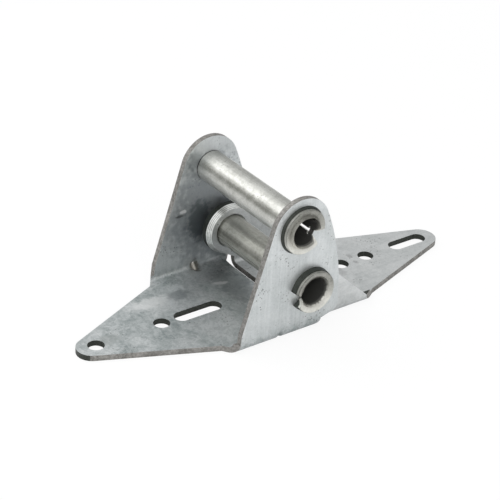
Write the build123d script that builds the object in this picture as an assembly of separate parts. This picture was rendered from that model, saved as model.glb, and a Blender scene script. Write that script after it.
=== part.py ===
from build123d import *
import os
from math import asin, atan2, cos, hypot, radians, sin, sqrt, tan

# Garage door hinge: a folded bracket with two tall ears, a second leaf that swings
# between them, and two rolled tubes keyed into the tall ears.
# Millimetres. X runs along the tubes, with 0 midway between the tall ears.
# Y = 0 is the axis of the lower tube, the bracket's leaf points to -Y and the
# swinging leaf to +Y. Z = 0 is the face that lies against the door panel.

# Sheet metal, the same gauge for both folded pieces
SHEET = 2.65
BEND_R = 2.0            # inside radius of a fold
BOLT_HOLE_R = 3.7
SLOT_W = 7.3

# Tubes: rolled strip with a seam, flared over the ears' collars
TUBE_OD = 14.5
TUBE_WALL = 1.4
SEAM_GAP = 1.2
ROLLER_Y = -7.0
ROLLER_Z = 52.3
ROLLER_SEAM = -26.0     # where the seam and the key teeth sit, degrees from +Y toward +Z
PIVOT_Z = 21.7
PIVOT_SEAM = 192.0
LIP_R = 10.2            # flared lip
LIP_ROUND = 0.5
FLARE_R = 2.6           # radius of the flare inside the mouth
FLARE_STEPS = 4         # straight steps that stand for its curve

# Collars drawn outward round the holes of the tall ears, and their key teeth
COLLAR_R = 9.8
COLLAR_H = 2.7
COLLAR_GAP = 42.0       # part of the circle left undrawn for the tooth, degrees
TOOTH_TIP_R = 6.1
TOOTH_ANGLE = 28.0
KEY_CLEAR = 2.0         # each side of a tooth in the tube's notch, degrees
NOTCH_CLEAR = 0.3       # between a tooth's flat side and the notch's bottom
SEAT_CLEAR = 0.03       # between a tube and its collars

# Bracket
BRACKET_W = 68.6        # over the two ears
EAR_BACK_Y = -35.2
EAR_BACK_RISE = 9.0     # height at which the rear edge starts to lean
EAR_BACK_LEAN = 0.4     # how far it has leaned in by then
EAR_TOP_R = 14.3        # round top, about the upper tube
EAR_FRONT_Y = 16.0
EAR_FRONT_Z = 10.5      # where the curved front edge has become upright
EAR_CORNER_R = 3.5
EAR_FOOT_Y = 7.3        # front end of the fold
EAR_FOOT_SLOPE = 15.4   # rise of the ear's lower edge, degrees
PLATE_EDGE_Y = 1.6      # cut edge under the lower tube
PLATE_EDGE_FLAT = 21.0  # half width of its straight part
PLATE_EDGE_LIFT = 2.0   # how far it has swept forward where the fold begins
LEAF_TIP_Y = -93.6
LEAF_HALF_W = 8.35      # half width of the leaf at its first hole
LEAF_TAPER = 23.3       # degrees
LEAF_FLARE_Y = -40.0    # where the edges turn out to the folds
HOLE_1_Y = -84.8
HOLE_2_Y = -52.0
SLOT_1_Y = (-45.2, -21.3)
DART_Y = -14.0          # stiffening dart pressed into each fold
DART_R = 1.5
DART_CREST = 5.8        # from the sharp outer corner to the dart's crest
DART_NICK = 1.9         # from that corner to the groove's centre line

# Swinging leaf
SWING_PLAY = 2.35       # between each short ear and its tall ear, with the leaf centred
SWING_SLIDE = 0.8       # how far the leaf has slid along the lower tube
SWING_EDGE_Y = 4.4      # cut edge under the lower tube
SWING_EAR_FOOT = 5.6    # height where the ear's rear edge leaves that cut line
SWING_EAR_R = 12.1      # round end, about the lower tube
SWING_FOLD_Y = 36.4     # where the ear's long edge starts
SWING_CLEAR = 0.1       # between the ears' holes and the tube
HOLE_EASE = 0.8         # bevel round each hole, on the face of its boss
BOSS_FOOT_R = 12.0      # boss pressed inward round each hole
BOSS_R = 10.7
BOSS_H = 2.65
SWING_TIP_Y = 100.5
SWING_HALF_W = 18.8     # half width of the leaf at its fourth hole
SWING_TAPER = 18.4      # degrees
SWING_FLARE_Y = 44.3
HOLE_3_Y = 45.3
HOLE_4_Y = 59.8
SLOT_2_Y = (74.5, 95.1)

# Worked out from the sizes above
TUBE_R = TUBE_OD / 2
BORE_R = TUBE_R - TUBE_WALL
BEND_OUT = BEND_R + SHEET
EAR_OUT = BRACKET_W / 2
EAR_IN = EAR_OUT - SHEET
MOUTH_X = EAR_OUT + COLLAR_H
TUBE_END_X = MOUTH_X + TUBE_WALL
SWING_OUT = EAR_IN - SWING_PLAY
SWING_IN = SWING_OUT - SHEET
ROLLER = (ROLLER_Y, ROLLER_Z)
PIVOT = (0, PIVOT_Z)
HEIGHT = ROLLER_Z + EAR_TOP_R
OVER = 5.0              # how far a cutter or outline runs past what it trims


def tangent(point, centre, radius, side):
    """Where a line from a point touches a circle; side is +1 or -1."""
    dy, dz = centre[0] - point[0], centre[1] - point[1]
    reach = sqrt(hypot(dy, dz) ** 2 - radius**2)
    angle = atan2(dz, dy) + side * asin(radius / hypot(dy, dz))
    return (point[0] + reach * cos(angle), point[1] + reach * sin(angle))


def on_circle(centre, radius, degrees):
    """Point of a circle at an angle measured from +Y toward +Z."""
    angle = radians(degrees)
    return (centre[0] + radius * cos(angle), centre[1] + radius * sin(angle))


def along_x(face, x0, x1):
    """Extrude a face drawn in (Y, Z) from x0 to x1."""
    return extrude(Plane.YZ.offset(x0) * face, x1 - x0)


def round_x(centre, radius, x0, x1):
    return along_x(Pos(*centre) * Circle(radius), x0, x1)


def sector_x(centre, radius, angle, spread, x0, x1):
    """Wedge about a tube's axis, spread degrees wide and centred on an angle."""
    a = on_circle(centre, radius, angle - spread / 2)
    b = on_circle(centre, radius, angle)
    c = on_circle(centre, radius, angle + spread / 2)
    outline = [Line(centre, a), ThreePointArc(a, b, c), Line(c, centre)]
    return along_x(make_face(outline), x0, x1)


def turned_x(centre, points):
    """Turn a profile of (X, radius) points about a tube's axis."""
    face = make_face(Polyline(*points, close=True))
    return Pos(0, *centre) * revolve(face, Axis.X)


def both_ends(solid):
    return [solid, mirror(solid, Plane.YZ)]


def folded_sheet(width, height, y0, y1):
    """Sheet folded up along both sides, as a U section run from y0 to y1."""
    outer = Pos(0, height / 2) * Rectangle(width, height)
    outer = fillet(outer.vertices().group_by(Axis.Y)[0], BEND_OUT)
    inner = Pos(0, SHEET + height / 2) * Rectangle(width - 2 * SHEET, height)
    inner = fillet(inner.vertices().group_by(Axis.Y)[0], BEND_R)
    return extrude(Plane.XZ.offset(-y1) * (outer - inner), y1 - y0)


def nose(tip_y, tip_width, taper):
    """Round tip between two tapering edges: (middle of the arc, where it meets +X edge)."""
    slope = radians(taper)
    way = 1 if tip_y > 0 else -1
    radius = tip_width * cos(slope) / (1 - sin(slope))
    centre_y = tip_y - way * radius
    return (0, tip_y), (radius * cos(slope), centre_y + way * radius * sin(slope))


def leaf_plan(tip_y, tip_width, taper, flare, fold, end_y):
    """Outline of a leaf seen from above, from its tip out to the folds and on to end_y."""
    top, meet = nose(tip_y, tip_width, taper)
    side = [meet, flare, fold, (fold[0], end_y)]
    other = [(-x, y) for x, y in reversed(side)]
    outline = [Polyline(*side, *other), ThreePointArc(other[-1], top, meet)]
    return extrude(Pos(0, 0, -OVER) * make_face(outline), HEIGHT + 2 * OVER)


def half_width(y, known_y, known_width, taper):
    return known_width - abs(y - known_y) * tan(radians(taper)) * (1 if abs(y) > abs(known_y) else -1)


def bracket_plan():
    tip = half_width(LEAF_TIP_Y, HOLE_1_Y, LEAF_HALF_W, LEAF_TAPER)
    flare = (half_width(LEAF_FLARE_Y, HOLE_1_Y, LEAF_HALF_W, LEAF_TAPER), LEAF_FLARE_Y)
    fold = (EAR_OUT, EAR_BACK_Y)
    return leaf_plan(LEAF_TIP_Y, tip, LEAF_TAPER, flare, fold, EAR_FRONT_Y + OVER)


def bracket_side():
    """Outline of a tall ear and of the leaf behind it, seen along the tubes."""
    foot = (EAR_FOOT_Y, BEND_OUT)
    rise = (EAR_FRONT_Y - EAR_FOOT_Y) * tan(radians(EAR_FOOT_SLOPE))
    corner = (EAR_FRONT_Y, BEND_OUT + rise)
    upright = (EAR_FRONT_Y, EAR_FRONT_Z)
    # the front edge is one arc: upright at its foot, tangent to the round top
    a = EAR_FRONT_Y - ROLLER_Y
    b = EAR_FRONT_Z - ROLLER_Z
    front_r = (a**2 + b**2 - EAR_TOP_R**2) / (2 * (a - EAR_TOP_R))
    front_c = (EAR_FRONT_Y - front_r, EAR_FRONT_Z)
    lean = atan2(ROLLER_Z - front_c[1], ROLLER_Y - front_c[0])
    shoulder = (front_c[0] + front_r * cos(lean), front_c[1] + front_r * sin(lean))
    waist = (front_c[0] + front_r * cos(lean / 2), front_c[1] + front_r * sin(lean / 2))
    heel = (EAR_BACK_Y + EAR_BACK_LEAN, EAR_BACK_RISE)
    back = tangent(heel, ROLLER, EAR_TOP_R, 1)
    outline = [
        Polyline((LEAF_TIP_Y - OVER, -OVER), (EAR_FOOT_Y, -OVER), foot, corner, upright),
        ThreePointArc(upright, waist, shoulder),
        ThreePointArc(shoulder, (ROLLER_Y, HEIGHT), back),
        Polyline(back, heel, (EAR_BACK_Y, BEND_OUT), (LEAF_TIP_Y - OVER, BEND_OUT)),
        Line((LEAF_TIP_Y - OVER, BEND_OUT), (LEAF_TIP_Y - OVER, -OVER)),
    ]
    face = make_face(outline)
    tip = face.vertices().sort_by_distance((corner[0], corner[1], 0))[0]
    face = fillet(tip, EAR_CORNER_R)
    return along_x(face, -EAR_OUT, EAR_OUT)


def plate_front():
    """What is cut away in front of the bracket's plate, as far up as the folds reach."""
    flat = EAR_OUT - BEND_OUT
    start = (PLATE_EDGE_FLAT, PLATE_EDGE_Y)
    swept = (flat, PLATE_EDGE_Y + PLATE_EDGE_LIFT)
    foot = (EAR_OUT, EAR_FOOT_Y)
    past = (EAR_OUT, EAR_FRONT_Y + OVER)
    curve = TangentArc(start, swept, tangent=(1, 0))
    side = [curve, Polyline(swept, foot, past, (-past[0], past[1]), (-foot[0], foot[1]))]
    side += [Line((-foot[0], foot[1]), (-swept[0], swept[1])), mirror(curve, Plane.YZ)]
    side += [Line((-start[0], start[1]), start)]
    return extrude(Pos(0, 0, -OVER) * make_face(side), OVER + BEND_OUT)


def collar(centre, seam):
    """Collar drawn outward round a hole, open where the key tooth is."""
    inner = TUBE_R + SEAT_CLEAR
    ease = FLARE_R - TUBE_WALL
    profile = [(EAR_IN, inner), (EAR_IN, COLLAR_R), (MOUTH_X, COLLAR_R)]
    profile += [(MOUTH_X, inner + ease), (MOUTH_X - ease, inner)]
    ring = turned_x(centre, profile)
    return ring - sector_x(centre, LIP_R + OVER, seam, COLLAR_GAP, EAR_IN, MOUTH_X + OVER)


def tooth(centre, seam):
    """Key tooth left in the sheet, pointing into the tube's seam."""
    wedge = sector_x(centre, COLLAR_R, seam, TOOTH_ANGLE, EAR_IN, EAR_OUT)
    return wedge - round_x(centre, TOOTH_TIP_R, EAR_IN - OVER, EAR_OUT + OVER)


def dart():
    """Rib pressed inward across a fold, and the groove that it leaves outside."""
    bar = Rot(0, 45, 0) * Cylinder(DART_R, 2 * BEND_OUT)
    mid = (DART_CREST - DART_R) / sqrt(2)
    nick = DART_NICK / sqrt(2)
    rib = Pos(EAR_OUT - mid, DART_Y, mid) * bar
    groove = Pos(EAR_OUT - nick, DART_Y, nick) * bar
    return rib, groove


def main_bracket():
    sheet = folded_sheet(BRACKET_W, HEIGHT, LEAF_TIP_Y, EAR_FRONT_Y)
    rib, groove = dart()
    block = Pos(0, DART_Y, BEND_OUT + SHEET) * Box(BRACKET_W, 4 * DART_R, 2 * (BEND_OUT + SHEET))
    corners = block.edges().filter_by(Axis.Y).group_by(Axis.Z)[0]
    block = fillet(corners, BEND_OUT)
    sheet += both_ends(rib & block)
    sheet -= both_ends(groove)
    sheet = sheet & bracket_plan() & bracket_side()
    sheet -= plate_front()
    for centre, seam in ((ROLLER, ROLLER_SEAM), (PIVOT, PIVOT_SEAM)):
        reach = MOUTH_X + OVER
        sheet -= round_x(centre, TUBE_R + SEAT_CLEAR, -reach, reach)
        sheet += both_ends(collar(centre, seam) + tooth(centre, seam))
    return sheet - bolt_holes((HOLE_1_Y, HOLE_2_Y), SLOT_1_Y, 0)


def bolt_holes(places, slot, x):
    """Round bolt holes and one slot along the centre line of a leaf."""
    cutters = [Pos(x, y, 0) * Cylinder(BOLT_HOLE_R, 4 * SHEET) for y in places]
    face = Pos(x, sum(slot) / 2) * Rot(0, 0, 90) * SlotOverall(slot[1] - slot[0], SLOT_W)
    cutters.append(extrude(Pos(0, 0, -2 * SHEET) * face, 4 * SHEET))
    return cutters


def swing_side():
    """Outline of a short ear and of the leaf in front of it, seen along the tubes."""
    fold = (SWING_FOLD_Y, BEND_OUT)
    foot = (SWING_EDGE_Y, SWING_EAR_FOOT)
    front = tangent(fold, PIVOT, SWING_EAR_R, -1)
    rear = tangent(foot, PIVOT, SWING_EAR_R, 1)
    far = SWING_TIP_Y + OVER
    outline = [
        Polyline(rear, foot, (SWING_EDGE_Y, -OVER), (far, -OVER), (far, BEND_OUT), fold, front),
        ThreePointArc(front, on_circle(PIVOT, SWING_EAR_R, 140), rear),
    ]
    return along_x(make_face(outline), -SWING_OUT, SWING_OUT)


def swing_plan():
    tip = half_width(SWING_TIP_Y, HOLE_4_Y, SWING_HALF_W, SWING_TAPER)
    flare = (half_width(SWING_FLARE_Y, HOLE_4_Y, SWING_HALF_W, SWING_TAPER), SWING_FLARE_Y)
    fold = (SWING_OUT, SWING_FOLD_Y)
    return leaf_plan(SWING_TIP_Y, tip, SWING_TAPER, flare, fold, -SWING_EAR_R - OVER)


def boss():
    """Boss pressed inward round a hole, and the recess that it leaves outside."""
    floor = SWING_IN - BOSS_H
    raised = [(SWING_IN, 0), (SWING_IN, BOSS_FOOT_R), (floor, BOSS_R), (floor, 0)]
    ledge = SWING_OUT - BOSS_H
    hollow = [(SWING_OUT, 0), (SWING_OUT, BOSS_FOOT_R - SHEET), (ledge, BOSS_R - SHEET), (ledge, 0)]
    return turned_x(PIVOT, raised), turned_x(PIVOT, hollow)


def eased_hole():
    """Hole for the lower tube through both short ears, bevelled on the bosses' faces."""
    radius = TUBE_R + SWING_CLEAR
    floor = SWING_IN - BOSS_H
    bevel = [(0, 0), (0, radius + HOLE_EASE), (floor, radius + HOLE_EASE), (floor + HOLE_EASE, radius)]
    return turned_x(PIVOT, bevel + [(EAR_OUT, radius), (EAR_OUT, 0)])


def swing_leaf():
    sheet = folded_sheet(2 * SWING_OUT, PIVOT_Z + SWING_EAR_R, -SWING_EAR_R, SWING_TIP_Y)
    sheet = sheet & swing_plan() & swing_side()
    raised, hollow = boss()
    sheet += both_ends(raised)
    sheet -= both_ends(hollow)
    sheet -= both_ends(eased_hole())
    sheet -= bolt_holes((HOLE_3_Y, HOLE_4_Y), SLOT_2_Y, 0)
    return Pos(SWING_SLIDE, 0, 0) * sheet


def tube(centre, seam):
    """Rolled tube, flared over the collars at both ends and notched for the teeth."""
    under = MOUTH_X + SEAT_CLEAR
    ease = FLARE_R - TUBE_WALL
    outline = [(under, TUBE_R + ease), (under - ease, TUBE_R), (0, TUBE_R), (0, BORE_R)]
    for step in range(FLARE_STEPS + 1):
        turn = radians(90 * step / FLARE_STEPS)
        inward = FLARE_R * (1 - sin(turn))
        outward = FLARE_R * (1 - cos(turn))
        outline.append((TUBE_END_X - inward, BORE_R + outward))
    outline += [(TUBE_END_X, LIP_R - LIP_ROUND), (TUBE_END_X - LIP_ROUND, LIP_R), (under, LIP_R)]
    half = turned_x(centre, outline)
    key = TOOTH_ANGLE + 2 * KEY_CLEAR
    notch = sector_x(centre, LIP_R + OVER, seam, key, EAR_IN - NOTCH_CLEAR, under)
    gap = sector_x(centre, LIP_R + OVER, seam, COLLAR_GAP, EAR_OUT, TUBE_END_X + OVER)
    whole = half + mirror(half, Plane.YZ)
    slit = Pos(0, *centre) * Rot(seam, 0, 0) * Pos(0, LIP_R, 0) * Box(3 * EAR_OUT, 2 * LIP_R, SEAM_GAP)
    return whole - both_ends(notch) - both_ends(gap) - slit


os.makedirs("parts", exist_ok=True)
pieces = {
    "main_bracket": main_bracket(),
    "swing_leaf": swing_leaf(),
    "roller_tube": tube(ROLLER, ROLLER_SEAM),
    "pivot_tube": tube(PIVOT, PIVOT_SEAM),
}
for name, piece in pieces.items():
    export_step(piece, f"parts/{name}.step")
    print(name, round(piece.volume, 1), piece.bounding_box().size)
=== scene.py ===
# %% [markdown]
# # A garage door hinge of galvanised steel
# A hinge of this kind joins two panels of a sectional door. A bracket is folded from sheet
# into a plate with two tall ears. A second, smaller leaf swings between the ears, and two
# rolled tubes hold the ears apart: the lower one is the pivot, the upper one takes the stem
# of a track roller. The CAD model gives every shape. This script gives the shapes what a
# plain solid lacks: fuller mouths on the tubes, edges that catch the light, zinc with its
# clouds and specks, sheared edges and the rubs of handling, and then light and a camera.

# %%
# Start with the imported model
from math import atan2, cos, hypot, pi, radians, sin, tan

import bmesh
import bpy
from mathutils import Matrix, Vector


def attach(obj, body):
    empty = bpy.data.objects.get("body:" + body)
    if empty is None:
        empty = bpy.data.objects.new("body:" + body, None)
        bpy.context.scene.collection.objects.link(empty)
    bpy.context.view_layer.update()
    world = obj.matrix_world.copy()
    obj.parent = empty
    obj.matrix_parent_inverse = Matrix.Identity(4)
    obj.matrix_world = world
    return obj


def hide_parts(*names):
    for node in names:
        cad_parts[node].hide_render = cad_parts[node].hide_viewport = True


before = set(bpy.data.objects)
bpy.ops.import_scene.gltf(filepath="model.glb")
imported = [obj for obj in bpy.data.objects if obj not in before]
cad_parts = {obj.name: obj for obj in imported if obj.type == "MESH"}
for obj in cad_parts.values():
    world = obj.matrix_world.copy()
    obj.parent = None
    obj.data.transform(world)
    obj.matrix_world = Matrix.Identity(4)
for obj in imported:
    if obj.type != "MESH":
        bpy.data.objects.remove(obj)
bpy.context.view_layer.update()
print("CAD nodes:", sorted(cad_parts))

# %% [markdown]
# ## The main sizes
# Everything is in metres. The frame's Z = 0 is the face that lies on the door, Y = 0 is the
# axis of the lower tube, and X runs along the tubes. These few sizes tell the later steps
# where the sheet, its folds, the tubes and the bosses are.

# %%
# Sizes that the later steps use
MM = 0.001
SHEET = 2.65 * MM                # thickness of both folded sheets
EAR_OUT = 34.3 * MM              # outer face of a tall ear, from the middle
EAR_IN = EAR_OUT - SHEET
BEND_OUT = 4.65 * MM             # outer radius of a fold
SWING_OUT = 29.3 * MM            # outer face of a short ear, from the leaf's own middle
SWING_SLIDE = 0.8 * MM           # the leaf has slid this far along the tube
BOSS_FOOT_R = 12.0 * MM          # where a boss rises from its short ear
PIVOT_Z = 21.7 * MM
ROLLER_Y = -7.0 * MM
ROLLER_Z = 52.3 * MM
print("sheet", SHEET, "half width over the ears", EAR_OUT)

# %% [markdown]
# ## The mouths of the tubes
# At each end a tube is belled out over a short collar that was drawn from the ear. In the
# photo the bell is a full quarter round that runs out to its lip, the upper one sits low on
# the ear and the lower one stands high, and collar and bell open in a V at the key tooth.
# The upper teeth end a little further out, and the plate's front edge is straighter.

# %%
# Sizes of the mouths: first as the solids have them, then as the photo shows them
TUBE_R = 7.25 * MM
TUBE_WALL = 1.4 * MM
BORE_R = TUBE_R - TUBE_WALL
PLAY = 0.03 * MM                 # between a tube and its collar
CAD_END = 38.4 * MM              # end of a tube, from the middle
CAD_LIP_R = 10.2 * MM
CAD_LIP_CUT = 0.5 * MM           # chamfer on the lip
CAD_FLARE = 2.6 * MM             # radius of the quarter round
CAD_BEVEL = 1.2 * MM             # slope under the lip
CAD_COLLAR_R = 9.8 * MM
TOOTH_R = 6.1 * MM               # tip of a key tooth, from the axis
TOOTH_HALF = radians(14.0)
GAP_HALF = radians(21.0)         # half of the gap in a collar
SLIT_REACH = 0.61 * MM           # just over half of a tube's seam

GAP_LEAST = radians(16.0)        # the V never gets narrower than this
V_POINT = 5.0 * MM               # distance of the V's point from the axis
V_SLOPE = tan(radians(39.0))
LIP_ROUND = 0.3 * MM
UNDER_SHARE = 0.58               # share of the overhang that slopes
RIM_SHOW = 0.25 * MM             # how far a collar's rim shows past the lip
EAR_GAP = 0.1 * MM               # the slope starts at least this far from the ear
ON_RING = 0.06 * MM              # a point this close to a ring belongs to it

FRONT_Y = 1.6 * MM               # the plate's front edge
CURVE_X, STEP_X = 21.2 * MM, 29.6 * MM    # where that edge bends off, and meets the fold
EAR_FOOT_Y = 7.3 * MM            # front of the ears' feet
EDGE_KEEPS = 0.3                 # share of that edge's bend that stays
STEP_GROWS = 1.38                # how many times as long the step at the ear gets

# "seam" is the way the seam faces, "slit" the share of its width that stays open
HUBS = {
    "upper": {"y": ROLLER_Y, "z": ROLLER_Z, "seam": radians(-26.0), "end": 37.0 * MM,
              "lip": 10.2 * MM, "foot": 11.0 * MM, "tooth": 6.8 * MM, "slit": 1.0},
    "lower": {"y": 0.0, "z": PIVOT_Z, "seam": radians(192.0), "end": 38.4 * MM,
              "lip": 9.7 * MM, "foot": 10.3 * MM, "tooth": 6.1 * MM, "slit": 0.35},
}
print("hubs:", sorted(HUBS))

# %% [markdown]
# ## From old rings to new ones
# A mouth is a turned form, so it is easiest to say where each ring of points belongs: the
# copy of a node keeps its rings, and each ring is moved to its place on the finer profile.
# Radius and distance along X come from pairs of old and new rings, worked out from the
# lip's size.

# %%
# Pairs of rings


def turn_from_seam(y, z, hub):
    """Angle about a hub's axis, from -180 to 180 degrees, with 0 at the seam."""
    return (atan2(z, y) - hub["seam"] + pi) % (2 * pi) - pi


def quarter(end, radius, grow, steps):
    """Rings (x, r) of a quarter round that opens to radius + grow at its end."""
    turns = [pi / 2 * k / steps for k in range(steps + 1)]
    return [(end - grow * (1 - sin(t)), radius + grow * (1 - cos(t))) for t in turns]


def tube_rings(hub):
    """Pairs of old and new rings for the flare of a tube."""
    under = CAD_END - TUBE_WALL + PLAY
    old = quarter(CAD_END, BORE_R, CAD_FLARE, 4)
    old += [(CAD_END, CAD_LIP_R - CAD_LIP_CUT), (CAD_END - CAD_LIP_CUT, CAD_LIP_R)]
    old += [(under, CAD_LIP_R), (under, TUBE_R + CAD_BEVEL), (under - CAD_BEVEL, TUBE_R)]
    end, lip = hub["end"], hub["lip"]
    under = end - TUBE_WALL + PLAY
    bevel = UNDER_SHARE * (lip - LIP_ROUND - TUBE_R)
    # the first ring of the old lip joins the quarter round, which runs further out
    new = quarter(end, BORE_R, lip - LIP_ROUND - BORE_R, 5)
    new += [(end - LIP_ROUND, lip), (under, lip), (under, TUBE_R + bevel)]
    new += [(max(under - bevel, EAR_OUT + EAR_GAP), TUBE_R)]
    return list(zip(old, new))


def collar_rings(hub):
    """Pairs of old and new rings for a collar."""
    inner = TUBE_R + PLAY
    mouth = CAD_END - TUBE_WALL
    old = [(EAR_OUT, CAD_COLLAR_R), (mouth, CAD_COLLAR_R)]
    old += [(mouth, inner + CAD_BEVEL), (mouth - CAD_BEVEL, inner)]
    mouth = hub["end"] - TUBE_WALL
    bevel = UNDER_SHARE * (hub["lip"] - LIP_ROUND - TUBE_R)
    new = [(EAR_OUT, hub["foot"]), (mouth, hub["lip"] + RIM_SHOW)]
    new += [(mouth, inner + bevel), (max(mouth - bevel, EAR_OUT + EAR_GAP), inner)]
    return list(zip(old, new))


for name, hub in HUBS.items():
    print(name, "mouth:", len(tube_rings(hub)), "rings, collar:", len(collar_rings(hub)))

# %% [markdown]
# ## Moving the points
# Every point of a copy that lies on an old ring goes to the new one. The V comes from
# turning the two open edges about the tube's axis, more the further out they lie.

# %%
# Reshape the copies of the tubes and the bracket


def v_angle(r, least):
    """Angle from the seam at which the V crosses a ring of radius r, never under least."""
    low, high = 0.0, pi / 2
    for _ in range(40):          # each round halves the range
        mid = (low + high) / 2
        inside = r * sin(mid) < V_SLOPE * (r * cos(mid) - V_POINT)
        low, high = (mid, high) if inside else (low, mid)
    return max(low, least)


def put(vert, x, r, angle, hub):
    """Put a point at x, at radius r and at an angle from the hub's seam."""
    turn = hub["seam"] + angle
    vert.co = (x, hub["y"] + r * cos(turn), hub["z"] + r * sin(turn))


def move_rings(bm, hub, pairs, least):
    """Move the points of a turned form to their new rings and open the V."""
    moved = 0
    for vert in bm.verts:
        side = 1 if vert.co.x > 0 else -1
        x, y, z = side * vert.co.x, vert.co.y - hub["y"], vert.co.z - hub["z"]
        r = hypot(y, z)
        for (old_x, old_r), (new_x, new_r) in pairs:
            if abs(x - old_x) < ON_RING and abs(r - old_r) < ON_RING:
                angle = turn_from_seam(y, z, hub)
                if abs(abs(angle) - GAP_HALF) < radians(1.0) and old_x > EAR_OUT + ON_RING:
                    angle = v_angle(new_r, least) * (1 if angle > 0 else -1)
                put(vert, side * new_x, new_r, angle, hub)
                moved += 1
                break
    return moved


def narrow_slit(bm, hub):
    """Close the seam of a tube towards its middle plane."""
    along = Vector((0.0, cos(hub["seam"]), sin(hub["seam"])))
    across = Vector((0.0, -sin(hub["seam"]), cos(hub["seam"])))
    centre = Vector((0.0, hub["y"], hub["z"]))
    for vert in bm.verts:
        away = vert.co - centre
        offset = away.dot(across)
        if away.dot(along) > 0 and abs(offset) < SLIT_REACH:
            vert.co -= across * offset * (1 - hub["slit"])


def close_step(bm, hub):
    """Draw the step where the tooth's notch meets the V in under the bell."""
    flare = hub["lip"] - LIP_ROUND - BORE_R
    start = min(EAR_OUT, hub["end"] - flare - 0.05 * MM)
    for vert in bm.verts:
        y, z = vert.co.y - hub["y"], vert.co.z - hub["z"]
        angle = turn_from_seam(y, z, hub)
        if abs(abs(vert.co.x) - EAR_OUT) < ON_RING and abs(angle) < 1.1 * GAP_HALF:
            side = 1 if vert.co.x > 0 else -1
            put(vert, side * start, hypot(y, z), max(-GAP_LEAST, min(GAP_LEAST, angle)), hub)


def reshape_tube(bm, hub):
    """Bell the mouths of a tube as the photo shows them."""
    narrow_slit(bm, hub)
    close_step(bm, hub)
    return move_rings(bm, hub, tube_rings(hub), 0.0)


def shorten_teeth(bm, hub):
    """Bring the tips of a hub's key teeth to their radius."""
    moved = 0
    for vert in bm.verts:
        y, z = vert.co.y - hub["y"], vert.co.z - hub["z"]
        angle = turn_from_seam(y, z, hub)
        if abs(hypot(y, z) - TOOTH_R) < ON_RING and abs(angle) < TOOTH_HALF * 1.05:
            put(vert, vert.co.x, hub["tooth"], angle, hub)
            moved += 1
    return moved


def straighten_front(bm):
    """Keep the plate's front edge straight further out, with a steeper step to each ear."""
    for vert in bm.verts:
        x, y, z = abs(vert.co.x), vert.co.y, vert.co.z
        in_plate = CURVE_X < x < STEP_X and z < 1.01 * SHEET
        in_fold = STEP_X < x < EAR_OUT + 0.01 * MM and z < 1.01 * BEND_OUT
        if in_plate and FRONT_Y + 0.05 * MM < y < FRONT_Y + 2.1 * MM:
            vert.co.y = FRONT_Y + EDGE_KEEPS * (y - FRONT_Y)
        elif in_fold and EAR_FOOT_Y - 3.8 * MM < y < EAR_FOOT_Y - 0.01 * MM:
            vert.co.y = EAR_FOOT_Y - STEP_GROWS * (EAR_FOOT_Y - y)


def reshape_bracket(bm):
    """Bring the collars, the upper teeth and the plate's front edge to the photo."""
    moved = sum(move_rings(bm, hub, collar_rings(hub), GAP_LEAST) for hub in HUBS.values())
    moved += shorten_teeth(bm, HUBS["upper"])
    straighten_front(bm)
    return moved


print("half of the V at the upper lip, in radians:", v_angle(HUBS["upper"]["lip"], 0.0))

# %% [markdown]
# ## Edges that catch the light
# A pressed steel part never has a perfectly sharp edge: shearing and the zinc on top leave
# it rounded by a few tenths of a millimetre, and that rounding is what draws a thin bright
# line round the real piece. The edge could be modelled by hand, but the CAD mesh already
# has every edge in its right place. So each node is copied, its loose triangles are merged
# into one skin, flat areas are joined again, and a narrow bevel with two segments is laid
# along every sharp edge. The copy then stands in for the node.

# %%
# Copy a node, merge it, round its edges
EDGE_ANGLE = radians(32)         # edges flatter than this stay as they are
FLAT_ANGLE = radians(0.4)        # faces this close to one plane are joined
SAME_POINT = 2e-6                # points this close are merged, in metres
SHEET_EDGE = 0.28 * MM
TUBE_EDGE = 0.18 * MM


def soft_edged_copy(node, body, width, reshape=None):
    """Merged copy of a CAD node with its sharp edges rounded; it replaces the node."""
    bm = bmesh.new()
    bm.from_mesh(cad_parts[node].data)
    bmesh.ops.remove_doubles(bm, verts=bm.verts, dist=SAME_POINT)
    moved = reshape(bm) if reshape else 0
    bmesh.ops.dissolve_limit(bm, angle_limit=FLAT_ANGLE, verts=bm.verts, edges=bm.edges)
    for face in bm.faces:
        face.smooth = True
    mesh = bpy.data.meshes.new(node + "_skin")
    bm.to_mesh(mesh)
    bm.free()
    piece = bpy.data.objects.new(node + "_skin", mesh)
    bpy.context.scene.collection.objects.link(piece)
    rounding = piece.modifiers.new("rounded edges", "BEVEL")
    rounding.limit_method = "ANGLE"
    rounding.angle_limit = EDGE_ANGLE
    rounding.width = width
    rounding.segments = 2
    rounding.use_clamp_overlap = True
    even = piece.modifiers.new("flat areas stay flat", "WEIGHTED_NORMAL")
    even.mode = "FACE_AREA"
    even.weight = 90
    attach(piece, body)
    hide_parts(node)
    print(node, "copied:", len(mesh.polygons), "faces,", moved, "points moved")
    return piece


def reshape_upper_tube(bm):
    """The upper tube's mouths."""
    return reshape_tube(bm, HUBS["upper"])


def reshape_lower_tube(bm):
    """The lower tube's mouths."""
    return reshape_tube(bm, HUBS["lower"])


bracket = soft_edged_copy(
    "main_bracket", "bracket", SHEET_EDGE, reshape_bracket
)
leaf = soft_edged_copy("swing_leaf", "leaf", SHEET_EDGE)
roller_tube = soft_edged_copy(
    "roller_tube", "bracket", TUBE_EDGE, reshape_upper_tube
)
pivot_tube = soft_edged_copy(
    "pivot_tube", "bracket", TUBE_EDGE, reshape_lower_tube
)

# %% [markdown]
# ## Where the sheet was cut
# The two faces of the sheet were galvanised in the mill. Its edges were sheared afterwards,
# so they are bare, duller and browner. All folds of this hinge run along Y, so the faces of
# the sheet never look along Y, and its cut edges nearly always do. That makes a simple test
# for each face of the mesh. Two places need more care: the crown of an ear's round end,
# and the long sides of a slot, which both lie inside the sheet's thickness.

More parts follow.
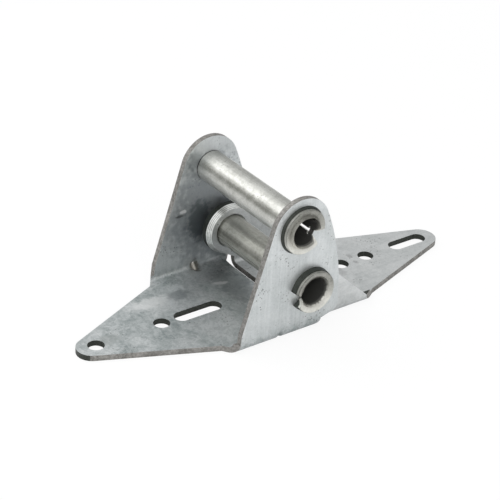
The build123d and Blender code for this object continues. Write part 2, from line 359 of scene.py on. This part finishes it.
# %%
# Sort the faces into material slots
SHEARED, SHADED, PRESSED = 1, 2, 3    # slot 0 is the zinc of the sheet or the strip
MOUTH = 1                        # a tube's second slot
DART_Y = 14.0 * MM
HOLE_HALF = 5.2 * MM             # all bolt holes and slots lie this close to the middle
EARS_REACH = 18.0 * MM           # and further than this from the pivot


def within_sheet(face, out, slide):
    """Whether a face's middle lies inside the thickness of an ear or of a leaf."""
    x = abs(face.center.x - slide)
    in_ear = out - 0.9 * SHEET < x < out - 0.1 * SHEET and face.center.z > BEND_OUT
    in_leaf = 0.1 * SHEET < face.center.z < 0.9 * SHEET and x < out - BEND_OUT
    return in_ear or in_leaf


def mark_sheared(piece, out, slide, pressed):
    """Give the cut edges the second material; pressed(face) spares drawn and pressed forms."""
    count = 0
    for face in piece.data.polygons:
        along = abs(face.normal.y) > 0.12 or within_sheet(face, out, slide)
        flat = abs(face.normal.x) > 0.99 or abs(face.normal.z) > 0.99
        if along and not pressed(face) and not (flat and not within_sheet(face, out, slide)):
            face.material_index = SHEARED
            count += 1
    print(piece.name, "has", count, "faces on its cut edges")


def on_collar(face):
    """Collars stand outside the tall ears, and the darts lie low in the folds."""
    x, y, z = (abs(v) for v in face.center)
    dart = abs(y - DART_Y) < 2.5 * MM and z < 8 * MM and x > 24 * MM
    return x > EAR_OUT + 0.05 * MM or dart


def boss_place(face):
    """Distance of a face from the pivot's axis, and whether it stands in from its ear."""
    reach = hypot(face.center.y, face.center.z - PIVOT_Z)
    return reach, abs(face.center.x - SWING_SLIDE) < SWING_OUT - 1.01 * SHEET


def on_boss(face):
    """The bosses and their hollows, round the lower tube."""
    reach, inward = boss_place(face)
    return face.center.z > 2 * BEND_OUT and (reach < 0.98 * BOSS_FOOT_R or inward)


def mark_collars(piece):
    """Give the flanks of the drawn collars the third material, a painted shade."""
    for face in piece.data.polygons:
        if abs(face.center.x) > EAR_OUT + 0.2 * MM:
            face.material_index = SHADED


def mark_hole_walls(piece, slide):
    """The walls of bolt holes and slots get a painted shade, darker than the outer edges."""
    for face in piece.data.polygons:
        x, y = abs(face.center.x - slide), abs(face.center.y)
        inside = x < HOLE_HALF and y > EARS_REACH
        if inside and 0.1 * SHEET < face.center.z < 0.9 * SHEET and abs(face.normal.z) < 0.3:
            face.material_index = SHADED


def mark_boss(piece):
    """Painted shade on the short ears' cut edges, bright flanks on their bosses."""
    for face in piece.data.polygons:
        reach, inward = boss_place(face)
        flank = BOSS_FOOT_R - 1.8 * MM < reach < BOSS_FOOT_R + 0.2 * MM
        if face.material_index == SHEARED and face.center.z > BEND_OUT:
            face.material_index = SHADED
        elif inward and flank and 0.1 < abs(face.normal.x) < 0.95:
            face.material_index = PRESSED


def mark_mouth(piece, hub):
    """Give a tube's bell and bore one material, which tells them apart by radius."""
    for face in piece.data.polygons:
        r = hypot(face.center.y - hub["y"], face.center.z - hub["z"])
        if r < TUBE_R - 0.4 * TUBE_WALL or abs(face.center.x) > EAR_OUT - 2 * MM:
            face.material_index = MOUTH


print("slots: sheared", SHEARED, "shaded", SHADED, "pressed", PRESSED, "mouth", MOUTH)

# %% [markdown]
# ## Zinc: the patterns that every part shares
# Hot-dip and mill zinc is never even. From near to far it has soft clouds a centimetre or
# two wide, blotches of a few millimetres where the skin dulled, and a fine sparkle below
# that. The clouds are one noise pattern inside another. They go into a node group, because
# the bracket, the leaf and the tubes all use them at different sizes.

# %%
# Node group: clouds, blotches and sparkle


def new_group(name, inputs, outputs):
    """Empty shader node group with named float, vector or colour sockets."""
    group = bpy.data.node_groups.new(name, "ShaderNodeTree")
    for label, kind, value in inputs:
        socket = group.interface.new_socket(label, in_out="INPUT", socket_type="NodeSocket" + kind)
        if value is not None:
            socket.default_value = value
    for label, kind in outputs:
        group.interface.new_socket(label, in_out="OUTPUT", socket_type="NodeSocket" + kind)
    return group, group.nodes.new("NodeGroupInput"), group.nodes.new("NodeGroupOutput")


def add_node(tree, kind, links=(), **settings):
    """Add a node, set its properties, and join or set its inputs."""
    node = tree.nodes.new("ShaderNode" + kind)
    for key, value in settings.items():
        setattr(node, key, value)
    for socket, value in dict(links).items():
        if isinstance(value, bpy.types.NodeSocket):
            tree.links.new(value, node.inputs[socket])
        else:
            node.inputs[socket].default_value = value
    return node


def spread(tree, value, low, high, to_low=0.0, to_high=1.0):
    """Map one band of values to another, softly at both ends."""
    links = {"Value": value, "From Min": low, "From Max": high, "To Min": to_low, "To Max": to_high}
    return add_node(tree, "MapRange", links, interpolation_type="SMOOTHSTEP").outputs["Result"]


def maths(tree, operation, a, b):
    """One Math node."""
    return add_node(tree, "Math", {0: a, 1: b}, operation=operation).outputs[0]


def zinc_clouds():
    """Clouds, Blotches and Sparkle, each from 0 to 1."""
    group, given, result = new_group(
        "zinc clouds",
        [("Vector", "Vector", None), ("Cloud Size", "Float", 60.0), ("Warp", "Float", 0.8)],
        [("Clouds", "Float"), ("Blotches", "Float"), ("Sparkle", "Float")],
    )
    place = given.outputs["Vector"]
    size = given.outputs["Cloud Size"]
    wide = {"Vector": place, "Scale": size, "Detail": 4.0, "Roughness": 0.6}
    wide["Distortion"] = given.outputs["Warp"]
    clouds = add_node(group, "TexNoise", wide).outputs["Fac"]
    near = {"Vector": place, "Scale": maths(group, "MULTIPLY", size, 5.0)}
    near.update({"Detail": 3.0, "Roughness": 0.65, "Distortion": 1.4})
    blotches = add_node(group, "TexNoise", near).outputs["Fac"]
    fine = {"Vector": place, "Scale": 1500.0, "Detail": 2.0, "Roughness": 0.7}
    sparkle = add_node(group, "TexNoise", fine).outputs["Fac"]
    group.links.new(spread(group, clouds, 0.34, 0.66), result.inputs["Clouds"])
    group.links.new(spread(group, blotches, 0.36, 0.66), result.inputs["Blotches"])
    group.links.new(spread(group, sparkle, 0.3, 0.7), result.inputs["Sparkle"])
    return group


CLOUDS = zinc_clouds()
print("group:", CLOUDS.name)

# %% [markdown]
# ## Pits and scratches
# Handling leaves two kinds of mark: small dark pits that gather in patches, and short fine
# scratches. A Voronoi pattern has one dot in each of its cells, which makes good pits when
# only the middle of a cell is kept. A scratch is a noise pattern squeezed hard across one
# direction. Both are masks, so a material can use them for colour, roughness and bump.

# %%
# Node group: pits and scratches


def handling_marks():
    """Pits and Scratches as masks from 0 to 1."""
    group, given, result = new_group(
        "handling marks",
        [("Vector", "Vector", None), ("Pit Scale", "Float", 700.0), ("Turn", "Vector", None)],
        [("Pits", "Float"), ("Scratches", "Float")],
    )
    place = given.outputs["Vector"]
    cells = {"Vector": place, "Scale": given.outputs["Pit Scale"], "Randomness": 1.0}
    away = add_node(group, "TexVoronoi", cells).outputs["Distance"]
    dots = spread(group, away, 0.12, 0.3, 1.0, 0.0)
    area = add_node(group, "TexNoise", {"Vector": place, "Scale": 95.0, "Detail": 2.0})
    patches = spread(group, area.outputs["Fac"], 0.52, 0.66)
    group.links.new(maths(group, "MULTIPLY", dots, patches), result.inputs["Pits"])
    turned = {"Vector": place, "Rotation": given.outputs["Turn"], "Scale": (70.0, 1500.0, 1500.0)}
    squeezed = add_node(group, "Mapping", turned).outputs["Vector"]
    lines = add_node(group, "TexNoise", {"Vector": squeezed, "Scale": 1.0, "Detail": 1.0})
    some = add_node(group, "TexNoise", {"Vector": place, "Scale": 130.0, "Detail": 1.0})
    fine = spread(group, lines.outputs["Fac"], 0.66, 0.74)
    rare = spread(group, some.outputs["Fac"], 0.5, 0.62)
    group.links.new(maths(group, "MULTIPLY", fine, rare), result.inputs["Scratches"])
    return group


MARKS = handling_marks()
print("group:", MARKS.name)

# %% [markdown]
# ## Lines from the mill's rolls
# Rolled strip carries faint lines along the way that it ran through the mill. On the tubes
# they run lengthwise and are easy to see, on the plate and the ears they are only a hint.
# The group squeezes a noise pattern across two axes and leaves it long on the third.

# %%
# Node group: rolling lines


def rolling_lines():
    """Lines from 0 to 1 that run along one axis; Squeeze holds the scale on each axis."""
    group, given, result = new_group(
        "rolling lines",
        [("Vector", "Vector", None), ("Squeeze", "Vector", (20.0, 900.0, 900.0))],
        [("Lines", "Float")],
    )
    links = {"Vector": given.outputs["Vector"], "Scale": given.outputs["Squeeze"]}
    squeezed = add_node(group, "Mapping", links).outputs["Vector"]
    links = {"Vector": squeezed, "Scale": 1.0, "Detail": 4.0, "Roughness": 0.65}
    lines = add_node(group, "TexNoise", links).outputs["Fac"]
    group.links.new(spread(group, lines, 0.33, 0.67), result.inputs["Lines"])
    return group


LINES = rolling_lines()
print("group:", LINES.name)

# %% [markdown]
# ## A mark at one place
# Some marks sit at one spot: the ding in the far ear, painted as a highlight over a shadow,
# a light streak on the plate, a brown trace by a fold, and painted shade behind and under the
# tubes. The group measures how far a point is from the mark's centre, with each axis divided
# by the mark's own size, and fades out towards a rim that a little noise frays.

# %%
# Node group: a frayed patch at a chosen place


def frayed_patch():
    """Mask that is 1 at Centre and 0 beyond Size, with an uneven rim."""
    group, given, result = new_group(
        "frayed patch",
        [
            ("Vector", "Vector", None),
            ("Centre", "Vector", (0.0, 0.0, 0.0)),
            ("Size", "Vector", (0.01, 0.01, 0.01)),
            ("Turn", "Vector", (0.0, 0.0, 0.0)),
            ("Fray", "Float", 0.5),
        ],
        [("Mask", "Float")],
    )
    place = given.outputs["Vector"]
    links = {0: place, 1: given.outputs["Centre"]}
    away = add_node(group, "VectorMath", links, operation="SUBTRACT").outputs["Vector"]
    links = {"Vector": away, "Rotation": given.outputs["Turn"]}
    turned = add_node(group, "Mapping", links).outputs["Vector"]
    links = {0: turned, 1: given.outputs["Size"]}
    shared = add_node(group, "VectorMath", links, operation="DIVIDE").outputs["Vector"]
    reach = add_node(group, "VectorMath", {0: shared}, operation="LENGTH").outputs["Value"]
    rough = add_node(group, "TexNoise", {"Vector": place, "Scale": 420.0, "Detail": 3.0})
    uneven = maths(group, "SUBTRACT", rough.outputs["Fac"], 0.5)
    frayed = maths(group, "MULTIPLY", uneven, given.outputs["Fray"])
    total = maths(group, "ADD", reach, maths(group, "MULTIPLY", frayed, 2.0))
    group.links.new(spread(group, total, 0.45, 1.0, 1.0, 0.0), result.inputs["Mask"])
    return group


PATCH = frayed_patch()
print("group:", PATCH.name)

# %% [markdown]
# ## From patterns to a finish
# A material starts from object coordinates, mixes its colours by the masks, and sends
# roughness and bump the same way. These helpers keep each finish short to write.

# %%
# Helpers for the finishes


def new_finish(name):
    """Material with a Principled BSDF; returns the material, its tree, shader and place."""
    material = bpy.data.materials.new(name)
    material.use_nodes = True
    tree = material.node_tree
    shader = next(n for n in tree.nodes if n.type == "BSDF_PRINCIPLED")
    place = add_node(tree, "TexCoord").outputs["Object"]
    return material, tree, shader, place


def use_group(tree, group, **values):
    """Place a node group and set or join its inputs, named with _ for a space."""
    node = tree.nodes.new("ShaderNodeGroup")
    node.node_tree = group
    for key, value in values.items():
        socket = node.inputs[key.replace("_", " ")]
        if isinstance(value, bpy.types.NodeSocket):
            tree.links.new(value, socket)
        else:
            socket.default_value = value
    return node.outputs


def mix(tree, factor, a, b):
    """Mix two colours, each a socket or an (r, g, b)."""
    node = tree.nodes.new("ShaderNodeMix")
    node.data_type = "RGBA"
    for socket, value in ((node.inputs[0], factor), (node.inputs[6], a), (node.inputs[7], b)):
        if isinstance(value, bpy.types.NodeSocket):
            tree.links.new(value, socket)
        elif isinstance(value, tuple):
            socket.default_value = (*value, 1.0)
        else:
            socket.default_value = value
    return node.outputs[2]


def weighted(tree, *terms):
    """Sum of socket times weight."""
    total = maths(tree, "MULTIPLY", *terms[0])
    for socket, weight in terms[1:]:
        total = maths(tree, "ADD", total, maths(tree, "MULTIPLY", socket, weight))
    return total


def bump(tree, shader, height, strength, distance):
    """Send a height to the shader's normal."""
    links = {"Height": height, "Strength": strength, "Distance": distance}
    node = add_node(tree, "Bump", links)
    tree.links.new(node.outputs["Normal"], shader.inputs["Normal"])


print("helpers ready")

# %% [markdown]
# ## Galvanised sheet
# The bracket's zinc is clouded: light grey with a cool, darker grey between, pitted here
# and there. A metal takes its brightness from what it mirrors, so the base colour sets the
# lightest tone and the clouds darken it. Roughness follows the clouds too, because dull
# zinc scatters more light than bright zinc.

# %%
# Finish: galvanised sheet


def galvanised_sheet(name, light, dark, cloud_size, contrast, calm, squeeze, patches=()):
    """Clouded zinc; calm is the share of the clouds that the ears keep, above the plate."""
    material, tree, shader, place = new_finish(name)
    clouds = use_group(tree, CLOUDS, Vector=place, Cloud_Size=cloud_size, Warp=0.9)
    marks = use_group(tree, MARKS, Vector=place, Turn=(0.0, 0.0, radians(62)))
    lines = use_group(tree, LINES, Vector=place, Squeeze=squeeze)
    height = add_node(tree, "SeparateXYZ", {0: place}).outputs["Z"]
    handled = spread(tree, height, 2.0 * MM, 9.0 * MM, 1.0, calm)
    soft, small = (clouds["Clouds"], 0.5 * contrast), (clouds["Blotches"], 0.32 * contrast)
    tone = maths(tree, "MULTIPLY", weighted(tree, soft, small), handled)
    fine = weighted(tree, (lines["Lines"], 0.12), (clouds["Sparkle"], 0.1))
    tone = maths(tree, "ADD", tone, fine)
    colour = mix(tree, tone, light, dark)
    colour = mix(tree, maths(tree, "MULTIPLY", marks["Pits"], 0.7), colour, (0.1, 0.1, 0.1))
    colour = mix(tree, maths(tree, "MULTIPLY", marks["Scratches"], 0.5), colour, (0.8, 0.8, 0.79))
    # the patches hold real marks, and painted shade and highlights as well
    for centre, size, turn, shade, strength in patches:
        mask = use_group(tree, PATCH, Vector=place, Centre=centre, Size=size, Turn=turn)["Mask"]
        colour = mix(tree, maths(tree, "MULTIPLY", mask, strength), colour, shade)
    tree.links.new(colour, shader.inputs["Base Color"])
    rough = weighted(
        tree, (clouds["Clouds"], 0.12), (clouds["Sparkle"], 0.08), (marks["Pits"], 0.2)
    )
    tree.links.new(maths(tree, "ADD", rough, 0.36), shader.inputs["Roughness"])
    shader.inputs["Metallic"].default_value = 0.9
    height = weighted(
        tree,
        (clouds["Blotches"], 0.5),
        (clouds["Sparkle"], 0.25),
        (marks["Pits"], -0.6),
        (marks["Scratches"], -0.3),
        (lines["Lines"], 0.15),
    )
    bump(tree, shader, height, 0.35, 0.06 * MM)
    print("finish:", name)
    return material


def mark(centre, size, shade, strength, turn=0.0):
    """One patch, in millimetres and degrees; shade is a grey or a colour."""
    colour = shade if isinstance(shade, tuple) else (shade, shade, shade)
    place = tuple(v * MM for v in centre)
    return place, tuple(v * MM for v in size), (0.0, 0.0, radians(turn)), colour, strength


# cool grey for painted shade by the tubes and for one dark cloud on the plate
COOL_CLOUD_AND_SHADE = (0.17, 0.19, 0.20)
FAR = -31.6                      # inner face of the far ear, in millimetres
bracket_marks = (
    # far ear: painted shade over it and by both tubes, a light streak, lighter top, the ding
    mark((FAR, -8, 30), (3, 26, 34), (0.27, 0.29, 0.31), 0.75),
    mark((FAR, -12, 26), (3, 9, 13), (0.12, 0.14, 0.15), 0.8),
    mark((FAR, -15, 57), (3, 5, 7), COOL_CLOUD_AND_SHADE, 0.6),
    mark((FAR, -27, 43), (3, 3, 13), 0.62, 0.6),
    mark((FAR, -8, 63), (3, 10, 5), (0.66, 0.68, 0.69), 0.6),
    # the ding: a painted highlight on its top and a painted shadow below it
    mark((FAR, -20.9, 32.8), (2, 2.4, 1.3), 0.9, 0.9),
    mark((FAR, -22.4, 30.9), (2, 3.2, 0.8), 0.08, 0.7),
    # fold and plate: the dart, painted shade under the tubes, a light streak, and clouds
    mark((-30.5, -14, 3.8), (4.5, 3.0, 3.5), (0.17, 0.16, 0.14), 0.95),
    mark((-10, -7, 2.6), (20, 11, 3), COOL_CLOUD_AND_SHADE, 0.5),
    mark((-13.9, -11.8, 2.6), (1.6, 4.5, 2), 0.85, 0.7, 20),
    mark((-16, -47, 2.6), (5, 15, 3), (0.74, 0.75, 0.75), 0.65),
    mark((-15, -33, 2.6), (5, 7, 3), COOL_CLOUD_AND_SHADE, 0.55),
    mark((-1, -78, 2.6), (5, 7, 3), (0.30, 0.32, 0.31), 0.4),
)
leaf_marks = (
    mark((-2.7, 53.0, 2.6), (2.2, 1.6, 2), 0.3, 0.5),
    mark((3.1, 52.4, 2.6), (2.0, 1.2, 2), 0.28, 0.5),
    mark((6.0, 41.0, 2.6), (5.0, 3.0, 2), 0.34, 0.4),
)
bracket_zinc = galvanised_sheet(
    "galvanised bracket",
    light=(0.69, 0.71, 0.715),
    dark=(0.25, 0.285, 0.285),
    cloud_size=55.0,
    contrast=1.0,
    calm=0.26,
    squeeze=(900.0, 900.0, 24.0),
    patches=bracket_marks,
)
leaf_zinc = galvanised_sheet(
    "galvanised leaf",
    light=(0.68, 0.69, 0.69),
    dark=(0.36, 0.38, 0.38),
    cloud_size=70.0,
    contrast=0.6,
    calm=0.8,
    squeeze=(900.0, 24.0, 900.0),
    patches=leaf_marks,
)

# %% [markdown]
# ## Rolled strip for the tubes
# The tubes are bent from narrow zinc-plated strip. It is smoother than the sheet and warmer
# in tone, with lines lengthwise and one dark band along the tube, a painted reflection. The
# lower tube is the duller one. Where a tube enters the ear, a thin dark line stands for the
# shadow in the joint.

# %%
# Finish: rolled strip


def rolled_strip(name, light, dark, roughness, hub, reflection_band_angle):
    """Satin zinc with lengthwise lines and one dark band along the tube, a painted reflection."""
    material, tree, shader, place = new_finish(name)
    clouds = use_group(tree, CLOUDS, Vector=place, Cloud_Size=110.0, Warp=0.6)
    marks = use_group(tree, MARKS, Vector=place, Turn=(0.0, 0.0, 0.0))
    lines = use_group(tree, LINES, Vector=place, Squeeze=(16.0, 1100.0, 1100.0))
    tone = weighted(
        tree, (clouds["Clouds"], 0.25), (clouds["Blotches"], 0.2), (lines["Lines"], 0.2)
    )
    spot = add_node(tree, "SeparateXYZ", {0: place}).outputs
    y = maths(tree, "SUBTRACT", spot["Y"], hub["y"])
    z = maths(tree, "SUBTRACT", spot["Z"], hub["z"])
    # painted reflection: a dark band lengthwise, darkest at the given angle round the axis
    across = radians(reflection_band_angle + 90)
    off = maths(tree, "ABSOLUTE", weighted(tree, (y, cos(across)), (z, sin(across))), 0.0)
    painted_reflection_band = spread(tree, off, 0.2 * MM, 2.6 * MM, 0.5, 0.0)
    tone = maths(tree, "ADD", tone, painted_reflection_band)
    colour = mix(tree, tone, light, dark)
    colour = mix(tree, maths(tree, "MULTIPLY", marks["Pits"], 0.5), colour, (0.12, 0.12, 0.1))
    out = maths(tree, "ABSOLUTE", spot["X"], 0.0)
    joint = spread(tree, out, EAR_IN - 0.5 * MM, EAR_IN - 0.25 * MM)
    colour = mix(tree, joint, colour, (0.02, 0.02, 0.02))
    tree.links.new(colour, shader.inputs["Base Color"])
    rough = weighted(tree, (clouds["Blotches"], 0.1), (lines["Lines"], 0.06))
    tree.links.new(maths(tree, "ADD", rough, roughness), shader.inputs["Roughness"])
    shader.inputs["Metallic"].default_value = 0.92
    height = weighted(tree, (lines["Lines"], 0.5), (clouds["Sparkle"], 0.2), (marks["Pits"], -0.5))
    bump(tree, shader, height, 0.3, 0.04 * MM)
    print("finish:", name)
    return material


roller_zinc = rolled_strip(
    "zinc on the upper tube", (0.64, 0.64, 0.61), (0.24, 0.24, 0.215), 0.33, HUBS["upper"], 152
)
pivot_zinc = rolled_strip(
    "zinc on the lower tube", (0.46, 0.46, 0.42), (0.17, 0.17, 0.15), 0.4, HUBS["lower"], 165
)

# %% [markdown]
# ## Sheared edges
# A shear leaves the upper third of an edge smooth and tears the rest, so a cut edge is
# matt, grainy and brownish grey.

# %%
# Finish: bare sheared edge


def sheared_edge():
    """Dull torn steel."""
    material, tree, shader, place = new_finish("sheared edge")
    clouds = use_group(tree, CLOUDS, Vector=place, Cloud_Size=160.0, Warp=0.5)
    grain = add_node(tree, "TexNoise", {"Vector": place, "Scale": 900.0, "Detail": 3.0})
    torn = spread(tree, grain.outputs["Fac"], 0.35, 0.65)
    tone = weighted(tree, (clouds["Clouds"], 0.5), (torn, 0.45))
    colour = mix(tree, tone, (0.32, 0.31, 0.295), (0.15, 0.145, 0.135))
    tree.links.new(colour, shader.inputs["Base Color"])
    rough = maths(tree, "ADD", maths(tree, "MULTIPLY", torn, 0.15), 0.5)
    tree.links.new(rough, shader.inputs["Roughness"])
    shader.inputs["Metallic"].default_value = 0.75
    bump(tree, shader, torn, 0.5, 0.05 * MM)
    print("finish: sheared edge")
    return material


edge_steel = sheared_edge()

# %% [markdown]
# ## Bells, bores, bosses and drawn collars
# Belling a tube polishes its mouth, so the bell is smoother than the rest; its colour is
# lighter below the axis and darker above it, a painted light and shade. The bore is painted
# dark all the way through, a painted shade. The tool that presses a boss leaves fine lines
# round it. Drawing a collar stretches the zinc until it is thin and dull, and its flank also
# lies in shade under the lip, so the flank is painted nearly black beside the ear; the short
# ears' cut edges and the walls of holes and slots get the same painted shade.

# %%
# Finishes: bell and bore with painted light and shade, boss, painted shade on flanks and walls
LINE_STEP = 1.05 * MM            # from one line on a boss to the next
# lit and shaded tones of a bell: painted light below the axis, painted shade above
BELL_LIT_TONE, BELL_SHADED_TONE = (0.72, 0.71, 0.66), (0.20, 0.20, 0.18)
# painted shade in a bore
BORE_PAINTED_SHADE = (0.085, 0.085, 0.08)


def from_axis(tree, spot, hub):
    """Distance of the shaded spot from a hub's axis."""
    across = maths(tree, "SUBTRACT", spot["Y"], hub["y"])
    height = maths(tree, "SUBTRACT", spot["Z"], hub["z"])
    squares = [maths(tree, "MULTIPLY", side, side) for side in (across, height)]
    return maths(tree, "SQRT", maths(tree, "ADD", *squares), 0.0)


def plain_zinc(name, light, dark, roughness, metallic, hub=None, turned=False):
    """Zinc with soft blotches. Round a hub it gets painted shade above the axis and in the bore,
    or, when turned, lines round the axis."""
    material, tree, shader, place = new_finish(name)
    clouds = use_group(tree, CLOUDS, Vector=place, Cloud_Size=180.0, Warp=0.5)
    tone = weighted(tree, (clouds["Clouds"], 0.3), (clouds["Blotches"], 0.3))
    spot = add_node(tree, "SeparateXYZ", {0: place}).outputs
    if turned:
        out = maths(tree, "ABSOLUTE", spot["X"], 0.0)
        reach = maths(tree, "ADD", from_axis(tree, spot, hub), out)
        wave = maths(tree, "SINE", maths(tree, "MULTIPLY", reach, 2 * pi / LINE_STEP), 0.0)
        tone = maths(tree, "ADD", tone, maths(tree, "MULTIPLY", wave, 0.45))
    elif hub:
        # painted shade: darker above the axis, lighter below it
        upper = spread(tree, spot["Z"], hub["z"] - 7.5 * MM, hub["z"] + 4 * MM)
        tone = weighted(tree, (tone, 0.5), (upper, 0.7))
    colour = mix(tree, tone, light, dark)
    if hub and not turned:
        # painted shade in the bore, fading out just past its wall
        reach = from_axis(tree, spot, hub)
        inside = spread(tree, reach, BORE_R + 0.1 * MM, BORE_R + 1.0 * MM, 1.0, 0.0)
        colour = mix(tree, inside, colour, BORE_PAINTED_SHADE)
    tree.links.new(colour, shader.inputs["Base Color"])
    rough = maths(tree, "MULTIPLY", clouds["Blotches"], 0.1)
    tree.links.new(maths(tree, "ADD", rough, roughness), shader.inputs["Roughness"])
    shader.inputs["Metallic"].default_value = metallic
    bump(tree, shader, clouds["Blotches"], 0.1, 0.03 * MM)
    print("finish:", name)
    return material


upper_bell = plain_zinc("upper bell", BELL_LIT_TONE, BELL_SHADED_TONE, 0.3, 0.55, HUBS["upper"])
lower_bell = plain_zinc("lower bell", BELL_LIT_TONE, BELL_SHADED_TONE, 0.3, 0.55, HUBS["lower"])
boss_light, boss_dark = (0.72, 0.73, 0.71), (0.20, 0.21, 0.20)
boss_zinc = plain_zinc("pressed boss", boss_light, boss_dark, 0.3, 0.85, HUBS["lower"], True)
# nearly black painted shade: collar flanks (also dull drawn zinc), short ear edges, hole walls
painted_shade_zinc = plain_zinc("painted shade finish", (0.045, 0.05, 0.043), (0.015, 0.017, 0.014), 0.4, 0.6)

# %% [markdown]
# ## Each finish in its place
# A piece gets its materials in the order of its slots, and then the tests from above sort
# its faces. The later tests overrule the earlier ones.

# %%
# Put the finishes on the pieces
for piece, finishes in (
    (bracket, (bracket_zinc, edge_steel, painted_shade_zinc)),
    (leaf, (leaf_zinc, edge_steel, painted_shade_zinc, boss_zinc)),
    (roller_tube, (roller_zinc, upper_bell)),
    (pivot_tube, (pivot_zinc, lower_bell)),
):
    piece.data.materials.clear()
    for finish in finishes:
        piece.data.materials.append(finish)
mark_sheared(bracket, EAR_OUT, 0.0, on_collar)
mark_sheared(leaf, SWING_OUT, SWING_SLIDE, on_boss)
mark_collars(bracket)
mark_boss(leaf)
mark_hole_walls(bracket, 0.0)
mark_hole_walls(leaf, SWING_SLIDE)
mark_mouth(roller_tube, HUBS["upper"])
mark_mouth(pivot_tube, HUBS["lower"])

# %% [markdown]
# ## Floor
# The hinge stands on a wide white sheet. The camera sees it as white, and it still takes a
# little of the shadow, because the plain white glow covers only nine tenths of the paper.
# The metal mirrors the paper alone.

# %%
# Wide white floor


def white_floor():
    """Large plane just under the hinge, with a shadow that stays faint."""
    bm = bmesh.new()
    bmesh.ops.create_grid(bm, x_segments=1, y_segments=1, size=20.0)
    bmesh.ops.translate(bm, verts=bm.verts, vec=(0.0, 0.0, -0.1 * MM))
    mesh = bpy.data.meshes.new("floor")
    bm.to_mesh(mesh)
    bm.free()
    floor = bpy.data.objects.new("floor", mesh)
    bpy.context.scene.collection.objects.link(floor)
    material = bpy.data.materials.new("white floor")
    material.use_nodes = True
    tree = material.node_tree
    tree.nodes.clear()
    out = add_node(tree, "OutputMaterial")
    paper = add_node(tree, "BsdfDiffuse", {"Color": (0.85, 0.85, 0.85, 1.0)})
    glow = add_node(tree, "Emission", {"Color": (1.0, 1.0, 1.0, 1.0), "Strength": 1.0})
    path = add_node(tree, "LightPath").outputs
    seen = maths(tree, "MAXIMUM", path["Is Camera Ray"], path["Is Transmission Ray"])
    both = add_node(tree, "MixShader", {0: maths(tree, "MULTIPLY", seen, 0.9)})
    tree.links.new(paper.outputs[0], both.inputs[1])
    tree.links.new(glow.outputs[0], both.inputs[2])
    tree.links.new(both.outputs[0], out.inputs["Surface"])
    mesh.materials.append(material)
    return floor


floor = white_floor()
print("floor at", floor.bound_box[0][2])

# %% [markdown]
# ## Light
# Bare metal shows the room it stands in. A room that is light overhead and greyer towards
# the horizon gives the tubes their long bands and the plates their calm tone, while the
# camera itself sees the room white. Three large soft lamps add the direction: one high on
# the left, one on the right, and one in front that lights the near ear.

# %%
# Room and lamps


def soft_room(horizon, overhead):
    """World whose light grows from the horizon upwards; the camera sees it white."""
    world = bpy.data.worlds.new("studio")
    world.use_nodes = True
    bpy.context.scene.world = world
    tree = world.node_tree
    back = next(n for n in tree.nodes if n.type == "BACKGROUND")
    way = add_node(tree, "TexCoord").outputs["Generated"]
    up = add_node(tree, "SeparateXYZ", {0: way}).outputs["Z"]
    level = spread(tree, up, 0.0, 0.9, horizon, overhead)
    seen = add_node(tree, "LightPath").outputs["Is Camera Ray"]
    tree.links.new(maths(tree, "MAXIMUM", level, seen), back.inputs["Strength"])
    back.inputs["Color"].default_value = (0.99, 1.0, 1.0, 1.0)
    print("room:", horizon, "to", overhead)


def soft_lamp(name, place, size, power, target=(0.0, 0.0, 0.02)):
    """Square area lamp that looks at the hinge."""
    lamp = bpy.data.lights.new(name, "AREA")
    lamp.shape = "SQUARE"
    lamp.size = size
    lamp.energy = power
    holder = bpy.data.objects.new(name, lamp)
    holder.location = place
    look = Vector(target) - Vector(place)
    holder.rotation_euler = look.to_track_quat("-Z", "Y").to_euler()
    bpy.context.scene.collection.objects.link(holder)
    print(name, "at", place)


soft_room(0.42, 0.95)
soft_lamp("high left lamp", (-0.9, -0.7, 1.3), 1.7, 12.0)
soft_lamp("right lamp", (1.2, -0.4, 0.9), 0.8, 5.0)
soft_lamp("front lamp", (0.9, -1.2, 0.7), 1.0, 7.0)

# %% [markdown]
# ## Camera
# The camera stands where the photographer's stood. Its direction, distance, lens and small
# tilt come from the photo's own perspective: the bolt holes, folds, ears and tubes land on
# their places in the picture.

# %%
# Camera
AZIMUTH = radians(52.188)
ELEVATION = radians(30.329)
TILT = radians(3.607)
DISTANCE = 0.7636
FOCAL_PIXELS = 1722.3
FRAME_PIXELS = 500
SENSOR = 36.0
MOVE_RIGHT = -0.004193
MOVE_UP = 0.019972


def studio_camera():
    """Camera placed from angles about the origin, with a roll and a small slide."""
    back = Vector((sin(AZIMUTH) * cos(ELEVATION), -cos(AZIMUTH) * cos(ELEVATION), sin(ELEVATION)))
    level = Vector((cos(AZIMUTH), sin(AZIMUTH), 0.0))
    upright = back.cross(level)
    right = cos(TILT) * level + sin(TILT) * upright
    up = cos(TILT) * upright - sin(TILT) * level
    place = DISTANCE * back + MOVE_RIGHT * right + MOVE_UP * up
    data = bpy.data.cameras.new("camera")
    data.sensor_width = SENSOR
    data.lens = FOCAL_PIXELS / FRAME_PIXELS * SENSOR
    camera = bpy.data.objects.new("camera", data)
    turn = Matrix((right, up, back)).transposed().to_4x4()
    camera.matrix_world = Matrix.Translation(place) @ turn
    bpy.context.scene.collection.objects.link(camera)
    bpy.context.scene.camera = camera
    return camera


camera = studio_camera()
print("camera", tuple(round(v, 4) for v in camera.location), "lens", round(camera.data.lens, 1))

# %% [markdown]
# ## View settings
# The colours are shown as they are, with no film look.

# %%
# Finish
bpy.context.scene.view_settings.view_transform = "Standard"
